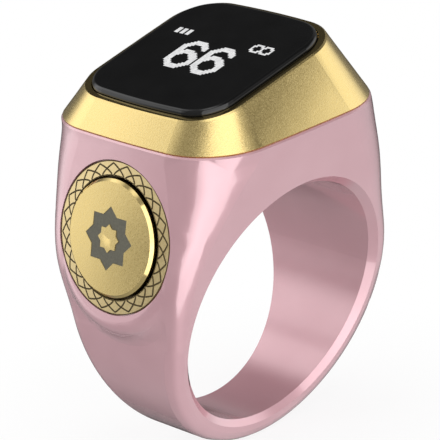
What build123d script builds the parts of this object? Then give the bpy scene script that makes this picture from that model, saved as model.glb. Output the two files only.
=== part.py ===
from build123d import *
from math import cos, radians, sin
import os

# A digital tasbih counter worn as a finger ring. Lengths are millimetres, angles degrees.
# The origin is the middle of the finger bore. +Y runs along the finger, +Z points up
# through the display head and -X faces the counting button.

# Driving dimensions of the finger bore and the band
BORE_R = 10.0
BORE_CHAMFER = 0.55
BAND_T = 1.92
BAND_HALF_Y = 5.92
BAND_EDGE_R = 1.1
OVERCUT = 2.0

# Head outline at the seam between the ring body and the metal bezel
SEAM_RISE = 5.15
SEAM_HALF_X = 10.47
SEAM_HALF_Y = 9.87
SEAM_CORNER_LEFT = 5.4
SEAM_CORNER_RIGHT = 6.2
SEAM_BOW_X = 0.46
SEAM_BOW_Y = 0.29
SEAM_BREAK = 0.12
SEAM_STEP = 0.12

# Shoulders from the band up to the seam, as shares: height, then how much of the band's
# extra half width is left on the button side and on the far side, then how far the corner
# radius has grown on those two sides
SHOULDER_SHARES = (
    (0.085, 1.06, 1.005, 0.015, 0.02),
    (0.265, 1.33, 0.93, 0.10, 0.18),
    (0.41, 1.27, 0.80, 0.18, 0.33),
    (0.56, 0.95, 0.69, 0.32, 0.47),
    (0.705, 0.60, 0.54, 0.50, 0.63),
    (0.85, 0.28, 0.28, 0.75, 0.80),
)

# Leaning top of the bezel, with the flat lip round the glass
LIP_X = -1.03
LIP_LOW_RISE = 2.0933
LIP_TILT = 12.65
LIP_IN_X = 2.54
LIP_IN_Y = 2.1
LIP_CORNER_LEFT = 3.6
LIP_CORNER_RIGHT = 3.9
LIP_BOW_X = 0.42
LIP_BOW_Y = 0.05
LIP_BREAK = 0.12
LIP_W_X = 0.62
LIP_W_Y = 0.72
LEDGE_W = 0.7
LEDGE_T = 0.95
RIM_W = 0.97
SKIRT_T = 0.65
SKIRT_GAP = 0.1
REBATE_D = 1.0
GASKET_T = 0.2

# Display stack under the lip
GLASS_T = 1.3
GLASS_PROUD = 0.45
GLASS_EDGE_R = 0.4
GLASS_GAP = 0.08
TAPE_T = 0.1
OLED_IN_X = 3.03
OLED_IN_Y = 2.76
OLED_SHIFT = 0.4
OLED_T = 1.2
FLEX_T = 0.12
FLEX_BEND_R = 0.6
DISPLAY_FLEX_W = 6.0
DISPLAY_FLEX_TAIL = 3.4
DISPLAY_FLEX_OUT = 0.5

# Hollow of the head and what is stacked on its floor
FLOOR_T = 1.3
HEAD_WALL = 1.57
BUTTON_WALL = 1.97
HEAD_WALL_Y = 1.37
POCKET_CORNER_R = 4.0
CONTACT_R = 0.8
CONTACT_FLANGE_W = 0.4
CONTACT_FLANGE_T = 0.3
CONTACT_HALF_PITCH = 2.2
CONTACT_FIT = 0.05
PAD_T = 0.45
BATTERY_T = 2.3
BATTERY_SIDE_GAP = 0.2
BATTERY_CORNER_R = 0.6
BATTERY_GAP = 1.1
PAD_GAP = 0.25
FLEX_LANE = 0.7
TAB_T = 0.25
TAB_L = 1.6
TAB_W = 1.0
TAB_HALF_PITCH = 2.4
BOARD_T = 0.6
BOARD_GAP = 0.3
CHARGE_FLEX_W = 6.6
CHARGE_FLEX_TAIL = 1.4

# Board screws and the posts they go into
SCREW_R = 0.48
SCREW_L = 2.4
SCREW_HEAD_W = 0.47
SCREW_HEAD_T = 0.45
SCREW_FREE = 0.12
POST_W = 0.62
POST_FIT = 0.02
POST_INSET_LEFT = 2.3
POST_INSET_RIGHT = 2.7
POST_INSET_Y = 2.0

# Board components: length along X, along Y and height
CHIP_X = 5.0
CHIP_T = 0.85
CRYSTAL_X = 2.0
CRYSTAL_Y = 1.6
CRYSTAL_T = 0.5
ANTENNA_X = 1.6
ANTENNA_Y = 5.0
ANTENNA_T = 0.6
CHARGER_X = 2.0
CHARGER_T = 0.6
SOCKET_X = 2.0
SOCKET_Y = 6.6
SOCKET_T = 0.5
CHIP_SHARE = -0.06
CRYSTAL_SHARES = (-0.12, 0.70)
CHARGER_SHARES = (0.24, -0.72)
ANTENNA_SHARE = -0.84
SOCKET_SHARE = 0.49

# Coin vibration motor
MOTOR_R = 3.0
MOTOR_SHELL = 0.15
MOTOR_BASE_T = 0.2
MOTOR_SHAFT_R = 0.3
MOTOR_RUN = 0.04
MOTOR_GAP = 0.15
MAGNET_IN_GAP = 0.7
MAGNET_OUT_GAP = 0.45
MAGNET_T = 0.5
ROTOR_T = 0.8
ROTOR_HUB_W = 0.5
ROTOR_RIM_GAP = 0.2
MOTOR_PIN_R = 0.35
MOTOR_PIN_HALF_PITCH = 1.2
MOTOR_WALL_GAP = 0.5

# Counting button, its surround ring and the tact switch behind it, along the button's axis
BUTTON_DROP = 7.15
BUTTON_OUT = 1.85
BUTTON_TILT = 12.5
SURROUND_R = 5.82
SURROUND_W = 1.1
SURROUND_LEDGE = 0.42
SURROUND_T = 0.6
SURROUND_FALL = 0.1
SURROUND_GAP = 0.09
CAP_GAP = 0.2
CAP_PROUD = 0.43
CAP_CHAMFER = 0.22
CAP_CROWN = 0.16
CAP_FLANGE_GAP = 0.15
CAP_FLANGE_T = 0.3
CAP_FREE = 0.05
CAP_TRAVEL = 0.3
STEM_R = 1.1
STEM_L = 0.6
CUSHION_T = 0.2
CUSHION_W = 1.85
SWITCH_W = 3.6
SWITCH_SIDE_GAP = 0.2
SWITCH_COVER_T = 0.1
PLUNGER_R = 0.8
PLUNGER_SPARE = 0.1
PLUNGER_FLANGE_W = 0.25
PLUNGER_FLANGE_T = 0.2
PLUNGER_GAP = 0.05
SWITCH_WELL_GAP = 0.35
SWITCH_FLOOR_T = 0.2
DOME_GAP = 0.1
DOME_T = 0.06
SWITCH_FLEX_W = 3.2
SWITCH_FLEX_LANE = 0.5
SLOT_GAP = 0.2
STAR_SIDE = 3.5
STAR_SIDE_IN = 1.55
STAR_DEPTH = 0.12
STAR_SUNK = 0.02
BOSS_IN = 0.6
BOSS_SHIFT = 1.2
BOSS_DROP = 0.1
BOSS_EDGE = 1.2
BOSS_FLARE = 1.3
BOSS_FLARE_D = 1.3
BOSS_ROOT = 3.0
BOSS_INSET = 0.4
BOSS_BLEND_R = 1.2

# Values that follow from the ones above
BAND_R = BORE_R + BAND_T
SEAM_Z = BORE_R + SEAM_RISE
FACE_TAPER = (SEAM_HALF_Y - BAND_HALF_Y) / SEAM_Z
LIP_HALF_X = SEAM_HALF_X - LIP_IN_X
LIP_Z = SEAM_Z + LIP_LOW_RISE + LIP_HALF_X * sin(radians(LIP_TILT))
LIP_HALF_Y = SEAM_HALF_Y - LIP_IN_Y
OLED_HALF_X = LIP_HALF_X - OLED_IN_X
OLED_HALF_Y = LIP_HALF_Y - OLED_IN_Y
LEDGE_H = GLASS_PROUD - GLASS_T - TAPE_T
FLOOR_Z = BORE_R + FLOOR_T
POCKET_LEFT = SEAM_HALF_X - BUTTON_WALL
POCKET_RIGHT = SEAM_HALF_X - HEAD_WALL
POCKET_HALF_Y = BAND_HALF_Y + FACE_TAPER * FLOOR_Z - HEAD_WALL_Y
REBATE_Z = SEAM_Z - REBATE_D
BATTERY_Z = FLOOR_Z + PAD_T
BOARD_Z = BATTERY_Z + BATTERY_T + TAB_T
BOARD_TOP = BOARD_Z + BOARD_T
BOARD_LEFT = POCKET_LEFT - BOARD_GAP
BOARD_RIGHT = POCKET_RIGHT - BOARD_GAP
BOARD_HALF_Y = POCKET_HALF_Y - BOARD_GAP
MOTOR_X = POCKET_RIGHT - MOTOR_WALL_GAP - MOTOR_R
MOTOR_H = MOTOR_BASE_T + MAGNET_T + MOTOR_GAP + ROTOR_T + ROTOR_RIM_GAP + MOTOR_SHELL
MAGNET_IN_R = MOTOR_SHAFT_R + MAGNET_IN_GAP
MAGNET_OUT_R = MOTOR_R - MOTOR_SHELL - MAGNET_OUT_GAP
ROTOR_HUB_R = MOTOR_SHAFT_R + ROTOR_HUB_W
CONTACT_FLANGE_R = CONTACT_R + CONTACT_FLANGE_W
SCREW_HEAD_R = SCREW_R + SCREW_HEAD_W
SCREW_HOLE_R = SCREW_R + SCREW_FREE
POST_R = SCREW_R + POST_W
POST_HOLE_R = SCREW_R + POST_FIT
BATTERY_W = 2 * (POCKET_HALF_Y - POST_INSET_Y - POST_R - BATTERY_SIDE_GAP)
SCREW_SPOTS = [
    (x, y)
    for x in (POST_INSET_LEFT - POCKET_LEFT, POCKET_RIGHT - POST_INSET_RIGHT)
    for y in (POST_INSET_Y - POCKET_HALF_Y, POCKET_HALF_Y - POST_INSET_Y)
]
BUTTON_X = -(BORE_R + BUTTON_OUT)
BUTTON_Z = SEAM_Z - BUTTON_DROP
SURROUND_IN_R = SURROUND_R - SURROUND_W
FLANGE_POCKET_R = SURROUND_R - SURROUND_LEDGE
CAP_R = SURROUND_IN_R - CAP_GAP
CAP_FACE_R = CAP_R - CAP_CHAMFER
STAR_TIP_R = STAR_SIDE * cos(radians(45))
STAR_TOP = CAP_PROUD + CAP_CROWN * (1 - (STAR_TIP_R / CAP_FACE_R) ** 2)
CAP_FLANGE_R = FLANGE_POCKET_R - CAP_FLANGE_GAP
CUSHION_IN_R = CAP_FLANGE_R - CUSHION_W
BOSS_R = SURROUND_R - BOSS_IN
PLUNGER_OUT = CAP_TRAVEL + PLUNGER_SPARE
PLUNGER_FLANGE_R = PLUNGER_R + PLUNGER_FLANGE_W
SWITCH_WELL_R = PLUNGER_FLANGE_R + SWITCH_WELL_GAP
DOME_R = SWITCH_WELL_R - DOME_GAP
SWITCH_H = SWITCH_COVER_T + PLUNGER_FLANGE_T + CAP_TRAVEL + PLUNGER_GAP + SWITCH_FLOOR_T
FLANGE_TOP = -(SURROUND_T + CAP_FREE)
FLANGE_BOTTOM = FLANGE_TOP - CAP_FLANGE_T
CUSHION_BOTTOM = FLANGE_BOTTOM - CUSHION_T
FLANGE_FLOOR = CUSHION_BOTTOM - CAP_TRAVEL - CAP_FREE
STEM_END = FLANGE_BOTTOM - STEM_L
SWITCH_TOP = STEM_END - PLUNGER_OUT
SWITCH_BOTTOM = SWITCH_TOP - SWITCH_H
SWITCH_FLOOR = SWITCH_BOTTOM - FLEX_T
SWITCH_WELL = SWITCH_W + 2 * SWITCH_SIDE_GAP
SWITCH_LANE_X = SWITCH_FLEX_LANE - POCKET_LEFT
SWITCH_DEPTH_X = (FLEX_T / 2 - SWITCH_BOTTOM) * cos(radians(BUTTON_TILT))
SWITCH_TURN_X = BUTTON_X + SWITCH_W * sin(radians(BUTTON_TILT)) + SWITCH_DEPTH_X
BATTERY_X0 = max(SWITCH_LANE_X, SWITCH_TURN_X) + BATTERY_GAP
BATTERY_L = MOTOR_X - MOTOR_R - FLEX_LANE - BATTERY_X0

DISPLAY = Plane(
    origin=(LIP_X, 0, LIP_Z),
    x_dir=(cos(radians(LIP_TILT)), 0, sin(radians(LIP_TILT))),
    z_dir=(-sin(radians(LIP_TILT)), 0, cos(radians(LIP_TILT))),
)
BUTTON = Plane(
    origin=(BUTTON_X, 0, BUTTON_Z),
    x_dir=(0, -1, 0),
    z_dir=(-cos(radians(BUTTON_TILT)), 0, sin(radians(BUTTON_TILT))),
)


def half_width(z):
    """Half the width of the body along the finger at a height."""
    return BAND_HALF_Y + FACE_TAPER * z


def side(start, middle, end, bow):
    """One side of an outline, straight where it doesn't bow."""
    if bow == 0:
        return Line(start, end)
    return ThreePointArc(start, middle, end)


def outline(left, right, half_y, bow_x, bow_y, corner_left, corner_right):
    """Rounded rectangle from -left to right along X, with sides that bow outwards."""
    x0 = bow_x - left
    x1 = right - bow_x
    y1 = half_y - bow_y
    middle = (right - left) / 2
    edges = [
        side((x0, -y1), (middle, -half_y), (x1, -y1), bow_y),
        side((x1, -y1), (right, 0), (x1, y1), bow_x),
        side((x1, y1), (middle, half_y), (x0, y1), bow_y),
        side((x0, y1), (-left, 0), (x0, -y1), bow_x),
    ]
    face = make_face(edges)
    face = fillet(face.vertices().sort_by(Axis.X)[:2], corner_left)
    return fillet(face.vertices().sort_by(Axis.X)[-2:], corner_right)


def seam_outline(inset):
    """Outline of the head at the seam, drawn in by an inset."""
    half_x = SEAM_HALF_X - inset
    corners = (SEAM_CORNER_LEFT - inset, SEAM_CORNER_RIGHT - inset)
    return outline(half_x, half_x, SEAM_HALF_Y - inset, SEAM_BOW_X, SEAM_BOW_Y, *corners)


def lip_outline(inset_x, inset_y):
    """Outline of the bezel's top edge, drawn in by an inset along each axis."""
    half_x = LIP_HALF_X - inset_x
    corners = (LIP_CORNER_LEFT - inset_x, LIP_CORNER_RIGHT - inset_x)
    return outline(half_x, half_x, LIP_HALF_Y - inset_y, LIP_BOW_X, LIP_BOW_Y, *corners)


def pocket_outline(inset):
    """Outline of the hollow in the head, drawn in by an inset."""
    corner = POCKET_CORNER_R - inset
    return outline(
        POCKET_LEFT - inset, POCKET_RIGHT - inset, POCKET_HALF_Y - inset, 0, 0, corner, corner
    )


def at_height(z, sketch):
    """A sketch moved up to a height."""
    return Pos(0, 0, z) * sketch


def on_display(h, sketch):
    """A sketch moved to a height over the bezel's lip, in the display's leaning frame."""
    return DISPLAY.offset(h) * sketch


def disc(plane, radius, low, high):
    """A round plate or pin on a plane's axis, from one height to another."""
    return extrude(plane.offset(low) * Circle(radius), high - low)


def ring(plane, outer, inner, low, high):
    """A plain washer on a plane's axis, from one height to another."""
    return extrude(plane.offset(low) * (Circle(outer) - Circle(inner)), high - low)


def slab(plane, size_x, size_y, low, high):
    """A rectangular plate centred on a plane's axis, from one height to another."""
    return extrude(plane.offset(low) * Rectangle(size_x, size_y), high - low)


def upright(x, y):
    """A level plane whose axis stands at a place on the floor plan."""
    return Plane(origin=(x, y, 0))


def strip(points, bend_r, width, thickness=FLEX_T):
    """A flat flexible circuit that follows a bent line in the XZ plane."""
    path = FilletPolyline(*points, radius=bend_r)
    return extrude(Plane.XZ * trace(path, thickness), width / 2, both=True)


def in_xz(plane, along, height):
    """World X and Z of a point given along a plane's upright in-plane axis and its normal."""
    direction = plane.x_dir if plane is DISPLAY else plane.y_dir
    spot = plane.origin + direction * along + plane.z_dir * height
    return (spot.X, spot.Z)


def finger_bore(radius):
    """The round hole for the finger, long enough to pass right through."""
    return Cylinder(radius, 4 * SEAM_HALF_Y, rotation=(90, 0, 0))


def taper_block(inset):
    """Everything between the two leaning faces of the ring, drawn in by an inset."""
    high = SEAM_Z + OVERCUT
    low = -(BAND_R + OVERCUT)
    corners = [(half_width(z) - inset, z) for z in (low, high)]
    mirrored = [(-y, z) for y, z in reversed(corners)]
    return extrude(Plane.YZ * Polygon(*corners, *mirrored, align=None), 2 * BAND_R, both=True)


def band_blank():
    """Lower half of the ring: a round band whose two faces close in towards the bottom."""
    blank = finger_bore(BAND_R) & taper_block(0)
    blank = fillet(blank.edges().filter_by(GeomType.ELLIPSE), BAND_EDGE_R)
    return blank & extrude(Rectangle(4 * BAND_R, 4 * BAND_R), -2 * BAND_R)


def shoulder_section(share):
    """One level outline of the head between the band and the seam."""
    height, left, right, corner_left, corner_right = share
    z = height * (SEAM_Z - SEAM_BREAK)
    extra = BAND_R - SEAM_HALF_X
    face = outline(
        SEAM_HALF_X + left * extra,
        SEAM_HALF_X + right * extra,
        half_width(z),
        height * SEAM_BOW_X,
        height * SEAM_BOW_Y,
        BAND_EDGE_R + corner_left * (SEAM_CORNER_LEFT - BAND_EDGE_R),
        BAND_EDGE_R + corner_right * (SEAM_CORNER_RIGHT - BAND_EDGE_R),
    )
    return at_height(z, face)


def head_blank(band):
    """Upper half of the ring, lofted from the top of the band to the seam."""
    root = band.faces().sort_by(Axis.Z)[-1]
    rising = [shoulder_section(share) for share in SHOULDER_SHARES]
    top = at_height(SEAM_Z - SEAM_BREAK, seam_outline(0))
    head = loft([root] + rising + [top])
    edge = loft([top, at_height(SEAM_Z, seam_outline(SEAM_BREAK))], ruled=True)
    return head + edge


def bore_chamfer(way):
    """Cutter for the broken edge of the bore on one face of the ring."""
    lean = (1 + FACE_TAPER * FACE_TAPER) ** 0.5
    normal = (0, way / lean, -FACE_TAPER / lean)
    face_plane = Plane(origin=(0, way * BAND_HALF_Y, 0), x_dir=(1, 0, 0), z_dir=normal)
    wide = BORE_R + BORE_CHAMFER + OVERCUT
    narrow = BORE_R - OVERCUT
    outer = face_plane.offset(OVERCUT) * Ellipse(wide, wide * lean)
    inner = face_plane.offset(-BORE_CHAMFER - OVERCUT) * Ellipse(narrow, narrow * lean)
    return loft([outer, inner], ruled=True)


def button_boss():
    """Round swelling under the lower half of the button, with a soft edge and a flared foot."""
    rim = BOSS_R + BOSS_EDGE
    foot = rim + BOSS_FLARE
    shoulder = BOSS_R + BOSS_EDGE * cos(radians(45))
    drop = BOSS_EDGE * (1 - sin(radians(45)))
    sweep_in = rim + BOSS_FLARE * (1 - cos(radians(45)))
    sweep_down = BOSS_EDGE + BOSS_FLARE_D * sin(radians(45))
    low = BOSS_EDGE + BOSS_FLARE_D
    profile = make_face(
        [
            Line((0, 0), (BOSS_R, 0)),
            ThreePointArc((BOSS_R, 0), (shoulder, -drop), (rim, -BOSS_EDGE)),
            ThreePointArc((rim, -BOSS_EDGE), (sweep_in, -sweep_down), (foot, -low)),
            Polyline((foot, -low), (foot, -BOSS_ROOT), (0, -BOSS_ROOT), (0, 0)),
        ]
    )
    seat = Plane(BUTTON.origin - BUTTON.y_dir * BOSS_SHIFT, BUTTON.x_dir, BUTTON.z_dir)
    boss = seat.offset(-BOSS_DROP).location * revolve(Plane.XZ * profile, Axis.Z)
    return boss & taper_block(BOSS_INSET)


def switch_route():
    """Line of the switch's flat circuit: up behind the button, into the hollow, to the board."""
    level = SWITCH_BOTTOM - FLEX_T / 2
    start = in_xz(BUTTON, -SWITCH_W / 2, level)
    turn = in_xz(BUTTON, SWITCH_W, level)
    high = BOARD_Z - FLEX_T / 2
    return [start, turn, (SWITCH_LANE_X, high), (SWITCH_LANE_X + CHARGE_FLEX_TAIL, high)]


def ring_body():
    band = band_blank()
    blank = band + head_blank(band)
    boss = button_boss()
    body = blank + boss
    body = fillet(new_edges(blank, boss, combined=body), BOSS_BLEND_R)
    body -= finger_bore(BORE_R)
    body -= bore_chamfer(1)
    body -= bore_chamfer(-1)
    body -= extrude(at_height(FLOOR_Z, pocket_outline(0)), SEAM_Z)
    body -= extrude(at_height(REBATE_Z, seam_outline(RIM_W)), SEAM_Z)
    body -= disc(BUTTON, SURROUND_R + SURROUND_GAP, -SURROUND_T, OVERCUT)
    body -= disc(BUTTON, FLANGE_POCKET_R, FLANGE_FLOOR, OVERCUT)
    body -= slab(BUTTON, SWITCH_WELL, SWITCH_WELL, SWITCH_FLOOR, FLANGE_FLOOR)
    slot_width = SWITCH_FLEX_W + 2 * SLOT_GAP
    body -= strip(switch_route(), FLEX_BEND_R, slot_width, FLEX_T + 2 * SLOT_GAP)
    for y in (-CONTACT_HALF_PITCH, CONTACT_HALF_PITCH):
        body -= disc(upright(0, y), CONTACT_R + CONTACT_FIT, 0, FLOOR_Z + FLOOR_T)
    for x, y in SCREW_SPOTS:
        body += disc(upright(x, y), POST_R, FLOOR_Z, BOARD_Z)
        body -= disc(upright(x, y), POST_HOLE_R, BOARD_TOP - SCREW_L, BOARD_Z)
    return body


def bezel_frame():
    outer = loft(
        [
            at_height(SEAM_Z, seam_outline(SEAM_STEP + SEAM_BREAK)),
            at_height(SEAM_Z + SEAM_BREAK, seam_outline(SEAM_STEP)),
            on_display(-LIP_BREAK, lip_outline(0, 0)),
            on_display(0, lip_outline(LIP_BREAK, LIP_BREAK)),
        ],
        ruled=True,
    )
    skirt_low = REBATE_Z + GASKET_T
    skirt = extrude(at_height(skirt_low, seam_outline(RIM_W + SKIRT_GAP)), SEAM_Z - skirt_low + SEAM_BREAK)
    inside = RIM_W + SKIRT_GAP + SKIRT_T
    opening = lip_outline(LIP_W_X + LEDGE_W, LIP_W_Y + LEDGE_W)
    ledge_low = LEDGE_H - LEDGE_T
    hollow = loft([at_height(SEAM_Z, seam_outline(inside)), on_display(ledge_low, opening)], ruled=True)
    glass_seat = lip_outline(LIP_W_X - GLASS_GAP, LIP_W_Y - GLASS_GAP)
    frame = outer + skirt
    frame -= extrude(at_height(skirt_low, seam_outline(inside)), SEAM_Z - skirt_low)
    frame -= hollow
    frame -= extrude(on_display(ledge_low, opening), OVERCUT + LEDGE_T)
    frame -= extrude(on_display(LEDGE_H, glass_seat), OVERCUT)
    return frame


def bezel_gasket():
    inside = RIM_W + SKIRT_GAP + SKIRT_T
    face = seam_outline(RIM_W + SKIRT_GAP) - seam_outline(inside)
    return extrude(at_height(REBATE_Z, face), GASKET_T)


def display_glass():
    low = GLASS_PROUD - GLASS_T
    pane = extrude(on_display(low, lip_outline(LIP_W_X, LIP_W_Y)), GLASS_T)
    top = pane.faces().sort_by(Axis(DISPLAY.origin, DISPLAY.z_dir))[-1]
    return fillet(top.edges(), GLASS_EDGE_R)


def glass_tape():
    face = lip_outline(LIP_W_X, LIP_W_Y) - lip_outline(LIP_W_X + LEDGE_W, LIP_W_Y + LEDGE_W)
    return extrude(on_display(LEDGE_H, face), TAPE_T)


def oled_panel():
    top = GLASS_PROUD - GLASS_T
    face = Pos(-OLED_SHIFT, 0) * Rectangle(2 * OLED_HALF_X, 2 * OLED_HALF_Y)
    return extrude(on_display(top - OLED_T, face), OLED_T)


def display_flex():
    under = GLASS_PROUD - GLASS_T - OLED_T - FLEX_T / 2
    start = in_xz(DISPLAY, OLED_HALF_X - OLED_SHIFT - DISPLAY_FLEX_TAIL, under)
    turn = in_xz(DISPLAY, OLED_HALF_X - OLED_SHIFT + DISPLAY_FLEX_OUT, under)
    level = BOARD_TOP + SOCKET_T + FLEX_T / 2
    socket_x = SOCKET_SHARE * BOARD_RIGHT
    corner = (socket_x + SOCKET_X / 2 + DISPLAY_FLEX_OUT, level)
    end = (socket_x - SOCKET_X / 2, level)
    return strip([start, turn, corner, end], FLEX_BEND_R, DISPLAY_FLEX_W)


def main_board():
    board = extrude(at_height(BOARD_Z, pocket_outline(BOARD_GAP)), BOARD_T)
    for x, y in SCREW_SPOTS:
        board -= disc(upright(x, y), SCREW_HOLE_R, BOARD_Z - BOARD_T, BOARD_TOP + BOARD_T)
    return board


def board_screws():
    screws = []
    for x, y in SCREW_SPOTS:
        place = upright(x, y)
        head = disc(place, SCREW_HEAD_R, BOARD_TOP, BOARD_TOP + SCREW_HEAD_T)
        shank = disc(place, SCREW_R, BOARD_TOP - SCREW_L, BOARD_TOP)
        slot = slab(place, 2 * SCREW_HEAD_R, SCREW_R / 2, BOARD_TOP + SCREW_HEAD_T / 2, SEAM_Z + SCREW_L)
        screws.append(head + shank - slot)
    return Compound(children=screws)


def on_board(x, y, size_x, size_y, height):
    """A board component standing on the main board."""
    return slab(upright(x, y), size_x, size_y, BOARD_TOP, BOARD_TOP + height)


def battery_cell():
    place = upright(BATTERY_X0 + BATTERY_L / 2, 0)
    face = RectangleRounded(BATTERY_L, BATTERY_W, BATTERY_CORNER_R)
    return extrude(place.offset(BATTERY_Z) * face, BATTERY_T)


def battery_tabs():
    top = BATTERY_Z + BATTERY_T
    spots = (-TAB_HALF_PITCH, TAB_HALF_PITCH)
    place_x = BATTERY_X0 + BATTERY_L - TAB_L
    return Compound(children=[slab(upright(place_x, y), TAB_L, TAB_W, top, top + TAB_T) for y in spots])


def battery_pad():
    right = -(CONTACT_FLANGE_R + PAD_GAP)
    length = right - BATTERY_X0
    return slab(upright(right - length / 2, 0), length, BATTERY_W, FLOOR_Z, BATTERY_Z)


def charge_contact(y):
    pin = disc(upright(0, y), CONTACT_R, 0, FLOOR_Z) - finger_bore(BORE_R)
    return pin + disc(upright(0, y), CONTACT_FLANGE_R, FLOOR_Z, FLOOR_Z + CONTACT_FLANGE_T)


def charge_flex():
    low = FLOOR_Z + CONTACT_FLANGE_T + FLEX_T / 2
    high = BOARD_Z - FLEX_T / 2
    rise = (BATTERY_X0 + BATTERY_L + MOTOR_X - MOTOR_R) / 2
    points = [(-CONTACT_FLANGE_R, low), (rise, low), (rise, high), (rise + CHARGE_FLEX_TAIL, high)]
    return strip(points, FLEX_T, CHARGE_FLEX_W)


def motor_base():
    place = upright(MOTOR_X, 0)
    plate = disc(place, MOTOR_R, FLOOR_Z, FLOOR_Z + MOTOR_BASE_T)
    return plate + disc(place, MOTOR_SHAFT_R, FLOOR_Z, FLOOR_Z + MOTOR_H - MOTOR_SHELL)


def motor_case():
    place = upright(MOTOR_X, 0)
    cup = disc(place, MOTOR_R, FLOOR_Z + MOTOR_BASE_T, FLOOR_Z + MOTOR_H)
    return cup - disc(place, MOTOR_R - MOTOR_SHELL, FLOOR_Z, FLOOR_Z + MOTOR_H - MOTOR_SHELL)


def motor_magnet():
    low = FLOOR_Z + MOTOR_BASE_T
    return ring(upright(MOTOR_X, 0), MAGNET_OUT_R, MAGNET_IN_R, low, low + MAGNET_T)


def motor_rotor():
    place = upright(MOTOR_X, 0)
    low = FLOOR_Z + MOTOR_BASE_T + MAGNET_T + MOTOR_GAP
    high = low + ROTOR_T
    reach = MOTOR_R - MOTOR_SHELL - ROTOR_RIM_GAP
    half = disc(place, reach, low, high) & slab(upright(MOTOR_X + reach, 0), 2 * reach, 2 * reach, low, high)
    hub = disc(place, ROTOR_HUB_R, low, high)
    return half + hub - disc(place, MOTOR_SHAFT_R + MOTOR_RUN, low - MOTOR_GAP, high + MOTOR_GAP)


def motor_pins():
    low = FLOOR_Z + MOTOR_H
    spots = (-MOTOR_PIN_HALF_PITCH, MOTOR_PIN_HALF_PITCH)
    return Compound(children=[disc(upright(MOTOR_X, y), MOTOR_PIN_R, low, BOARD_Z) for y in spots])


def star(side_length):
    """Eight-pointed star of two crossed squares, an old geometric pattern."""
    return Rectangle(side_length, side_length) + Rot(0, 0, 45) * Rectangle(side_length, side_length)


def star_ring():
    return star(STAR_SIDE) - star(STAR_SIDE_IN)


def button_surround():
    """Washer whose face falls a little outwards, to lie flush with the seat round it."""
    profile = make_face(
        Polyline(
            (SURROUND_IN_R, 0),
            (SURROUND_R, -SURROUND_FALL),
            (SURROUND_R, -SURROUND_T),
            (SURROUND_IN_R, -SURROUND_T),
            close=True,
        )
    )
    return BUTTON.location * revolve(Plane.XZ * profile, Axis.Z)


def button_cap():
    """Turned cap with a slightly crowned face, a bevel round it, a flange and a stem."""
    edge = CAP_PROUD - CAP_CHAMFER
    low = FLANGE_BOTTOM
    profile = make_face(
        [
            ThreePointArc((-CAP_FACE_R, CAP_PROUD), (0, CAP_PROUD + CAP_CROWN), (CAP_FACE_R, CAP_PROUD)),
            Polyline((CAP_FACE_R, CAP_PROUD), (CAP_R, edge), (CAP_R, low), (-CAP_R, low)),
            Polyline((-CAP_R, low), (-CAP_R, edge), (-CAP_FACE_R, CAP_PROUD)),
        ]
    )
    half = profile & (Pos(CAP_R, CAP_PROUD) * Rectangle(2 * CAP_R, 2 * (CAP_PROUD + CAP_CROWN - low)))
    body = BUTTON.location * revolve(Plane.XZ * half, Axis.Z)
    body += disc(BUTTON, CAP_FLANGE_R, FLANGE_BOTTOM, FLANGE_TOP)
    body += disc(BUTTON, STEM_R, STEM_END, FLANGE_BOTTOM)
    return body - extrude(BUTTON.offset(STAR_TOP - STAR_DEPTH) * star_ring(), OVERCUT)


def button_inlay():
    return extrude(BUTTON.offset(STAR_TOP - STAR_DEPTH) * star_ring(), STAR_DEPTH - STAR_SUNK)


def button_cushion():
    return ring(BUTTON, CAP_FLANGE_R, CUSHION_IN_R, CUSHION_BOTTOM, FLANGE_BOTTOM)


def switch_cover():
    plate = slab(BUTTON, SWITCH_W, SWITCH_W, SWITCH_TOP - SWITCH_COVER_T, SWITCH_TOP)
    return plate - disc(BUTTON, PLUNGER_R + PLUNGER_GAP, SWITCH_BOTTOM, STEM_END)


def switch_base():
    high = SWITCH_TOP - SWITCH_COVER_T
    block = slab(BUTTON, SWITCH_W, SWITCH_W, SWITCH_BOTTOM, high)
    return block - disc(BUTTON, SWITCH_WELL_R, SWITCH_BOTTOM + SWITCH_FLOOR_T, high)


def switch_plunger():
    under = SWITCH_TOP - SWITCH_COVER_T
    flange = disc(BUTTON, PLUNGER_FLANGE_R, under - PLUNGER_FLANGE_T, under)
    return flange + disc(BUTTON, PLUNGER_R, under, STEM_END)


def switch_dome():
    low = SWITCH_BOTTOM + SWITCH_FLOOR_T
    high = SWITCH_TOP - SWITCH_COVER_T - PLUNGER_FLANGE_T
    rise = high - low - DOME_T
    profile = make_face(
        [
            ThreePointArc((-DOME_R, low), (0, low + rise), (DOME_R, low)),
            Line((DOME_R, low), (DOME_R, low + DOME_T)),
            ThreePointArc((DOME_R, low + DOME_T), (0, high), (-DOME_R, low + DOME_T)),
            Line((-DOME_R, low + DOME_T), (-DOME_R, low)),
        ]
    )
    half = profile & (Pos(DOME_R, low) * Rectangle(2 * DOME_R, 2 * SWITCH_H))
    return BUTTON.location * revolve(Plane.XZ * half, Axis.Z)


def switch_flex():
    return strip(switch_route(), FLEX_BEND_R, SWITCH_FLEX_W)


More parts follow.
